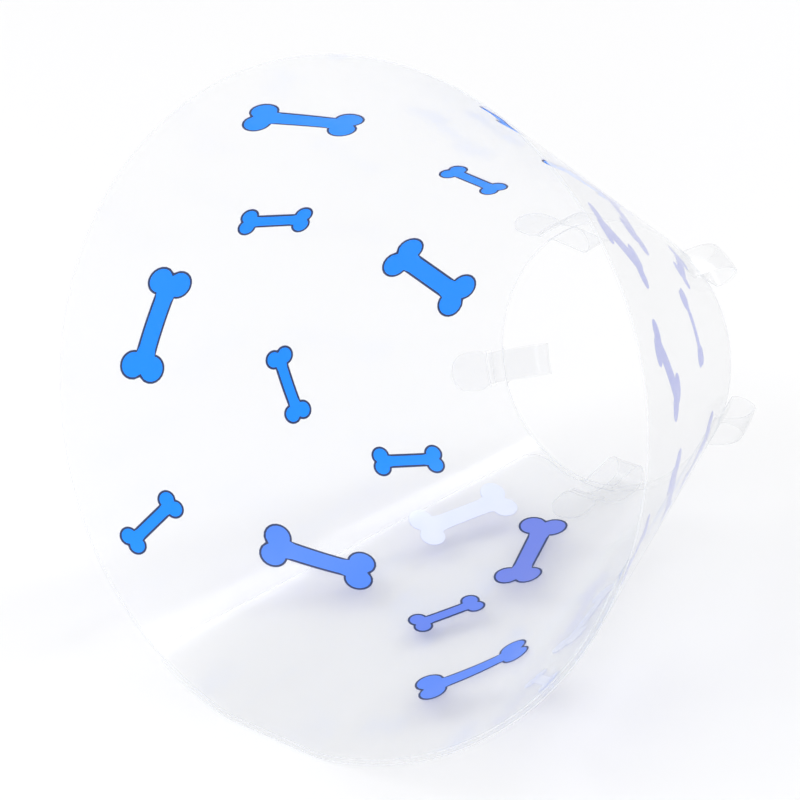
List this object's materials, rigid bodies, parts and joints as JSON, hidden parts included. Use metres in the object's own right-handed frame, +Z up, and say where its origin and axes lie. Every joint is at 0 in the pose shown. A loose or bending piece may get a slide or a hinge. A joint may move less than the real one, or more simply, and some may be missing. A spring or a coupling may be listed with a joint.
{
  "type": "elizabethan collar",
  "caption": "Clear plastic cone collar for a large dog: a rolled sheet with a lapped seam and strap loops at its neck edge.",
  "frame": {"origin": "bottom centre of the bounding box, on the surface that the collar lies on", "axes": "+X from the wide mouth towards the neck, along the line that the wall rests on; +Y to the far side; +Z up"},
  "size_m": [0.385, 0.3984, 0.3722],
  "materials": {
    "clear_sheet": "clear glossy sheet, printed with blue bones"
  },
  "bodies": {
    "held_half": {"far_top_panel": "clear_sheet", "far_wall_panel": "clear_sheet", "inner_lap_panel": "clear_sheet", "neck_strap_4": "clear_sheet", "neck_strap_5": "clear_sheet"},
    "near_top": {"near_top_panel": "clear_sheet", "neck_strap_3": "clear_sheet"},
    "near_wall": {"near_wall_panel": "clear_sheet", "neck_strap_2": "clear_sheet", "strap_head_2": "clear_sheet"},
    "outer_flap": {"outer_flap": "clear_sheet", "neck_strap_1": "clear_sheet", "strap_head_1": "clear_sheet"},
    "inner_flap": {"inner_flap": "clear_sheet"},
    "strap_head_3": {"strap_head_3": "clear_sheet"},
    "strap_head_4": {"strap_head_4": "clear_sheet"},
    "strap_head_5": {"strap_head_5": "clear_sheet"}
  },
  "joints": [
    {"name": "unwrap", "type": "hinge", "parent": "held_half", "child": "near_top", "pos_m": [0.05391, 0.02284, 0.26633], "axis": [-0.7197, 0.0626, 0.6915], "range_deg": [0, 40]},
    {"name": "unwrap_wall", "type": "hinge", "parent": "near_top", "child": "near_wall", "pos_m": [0.02835, -0.12413, 0.19689], "axis": [-0.7946, -0.3564, 0.4916], "range_deg": [0, 40]},
    {"name": "unwrap_flap", "type": "hinge", "parent": "near_wall", "child": "outer_flap", "pos_m": [-0.02887, -0.0983, 0.04417], "axis": [-0.9575, -0.2828, 0.0567], "range_deg": [0, 40]},
    {"name": "inner_flap_lift", "type": "hinge", "parent": "held_half", "child": "inner_flap", "pos_m": [-0.0383, -0.061, 0.02378], "axis": [-0.9833, -0.1816, -0.0122], "range_deg": [0, 35]},
    {"name": "strap_head_3_lift", "type": "hinge", "parent": "near_top", "child": "strap_head_3", "pos_m": [0.14759, -0.0402, 0.16035], "axis": [-0.1754, -0.866, -0.4682], "range_deg": [0, 50], "stiffness_Nm_per_rad": 0.002},
    {"name": "strap_head_4_lift", "type": "hinge", "parent": "held_half", "child": "strap_head_4", "pos_m": [0.14338, 0.05552, 0.15034], "axis": [0.2348, -0.7431, 0.6266], "range_deg": [0, 50], "stiffness_Nm_per_rad": 0.002},
    {"name": "strap_head_5_lift", "type": "hinge", "parent": "held_half", "child": "strap_head_5", "pos_m": [0.11026, 0.07454, 0.06315], "axis": [0.3205, 0.4067, 0.8555], "range_deg": [0, 50], "stiffness_Nm_per_rad": 0.002}
  ],
  "couplings": [
    {"joint": "unwrap_wall", "follows": "unwrap", "ratio": 1},
    {"joint": "unwrap_flap", "follows": "unwrap", "ratio": 1}
  ]
}
